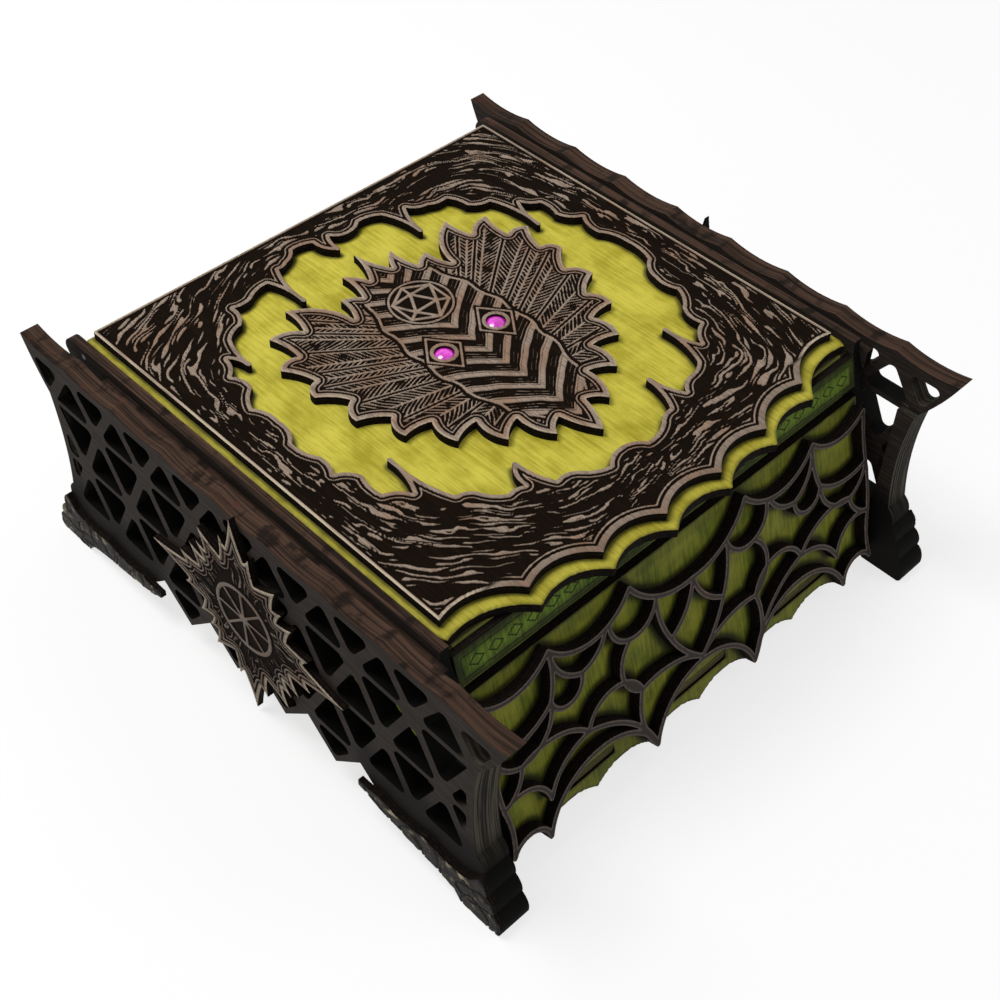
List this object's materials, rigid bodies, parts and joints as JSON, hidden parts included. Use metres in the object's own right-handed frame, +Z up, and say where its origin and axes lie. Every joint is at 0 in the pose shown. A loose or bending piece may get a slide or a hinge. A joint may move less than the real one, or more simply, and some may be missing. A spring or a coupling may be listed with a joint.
{
  "type": "dice storage chest",
  "caption": "Plywood dice chest with a hinged lid over a divided tray, a leaning web-fret drawer below and pierced side frames with feet.",
  "frame": {"origin": "middle of the footprint on the surface that the feet stand on", "axes": "+X to the chest's right seen from its drawer front, +Y from the drawer front to the hinge side, +Z up"},
  "size_m": [0.2544, 0.2726, 0.111],
  "materials": {
    "engraved_ply": "burnt engraved plywood with dry-brushed edges",
    "dark_ply": "dark brown stained plywood",
    "web_ply": "grey-brown stained plywood with charred edges",
    "green_ply": "chartreuse stained plywood",
    "olive_ply": "thin olive stained plywood",
    "magenta_stone": "glossy acrylic stone",
    "steel_pin": "plain steel rod"
  },
  "bodies": {
    "chest": {"base_board": "olive_ply", "back_wall": "olive_ply", "shelf": "olive_ply", "front_wall": "olive_ply", "front_fascia": "green_ply", "divider_long": "olive_ply", "drawer_stop": "olive_ply", "side_wall_left": "green_ply", "side_wall_right": "green_ply", "divider_cross_left": "olive_ply", "divider_cross_right": "olive_ply", "front_stile_left": "dark_ply", "front_stile_right": "dark_ply", "cheek_rail_left": "dark_ply", "cheek_rail_right": "dark_ply", "rear_stile_left": "dark_ply", "rear_stile_right": "dark_ply", "spacer_left": "dark_ply", "spacer_right": "dark_ply", "leg_front_left": "dark_ply", "leg_front_right": "dark_ply", "leg_rear_left": "dark_ply", "leg_rear_right": "dark_ply", "frame_core_left": "dark_ply", "frame_core_right": "dark_ply", "lattice_left": "dark_ply", "lattice_right": "dark_ply", "emblem_left": "engraved_ply", "emblem_right": "engraved_ply", "plinth_front_left": "engraved_ply", "plinth_front_right": "engraved_ply", "plinth_rear_left": "engraved_ply", "plinth_rear_right": "engraved_ply", "hinge_pin_left": "steel_pin", "hinge_pin_right": "steel_pin"},
    "lid": {"lid_board": "green_ply", "lid_overlay": "engraved_ply", "lid_plaque": "engraved_ply", "gem_left": "magenta_stone", "gem_right": "magenta_stone", "lid_batten_left": "olive_ply", "lid_batten_right": "olive_ply", "lid_batten_front": "olive_ply"},
    "drawer": {"drawer_front": "green_ply", "web_back": "web_ply", "web_front": "web_ply", "drawer_bottom": "olive_ply", "drawer_side_left": "olive_ply", "drawer_side_right": "olive_ply", "drawer_back": "olive_ply", "drawer_divider_long": "olive_ply", "drawer_divider_cross": "olive_ply"}
  },
  "joints": [
    {"name": "lid_hinge", "type": "hinge", "parent": "chest", "child": "lid", "pos_m": [0, 0.1104, 0.105], "axis": [-1, 0, 0], "range_deg": [0, 105]},
    {"name": "drawer_slide", "type": "slide", "parent": "chest", "child": "drawer", "axis": [0, -1, 0], "range_m": [0, 0.15]}
  ]
}
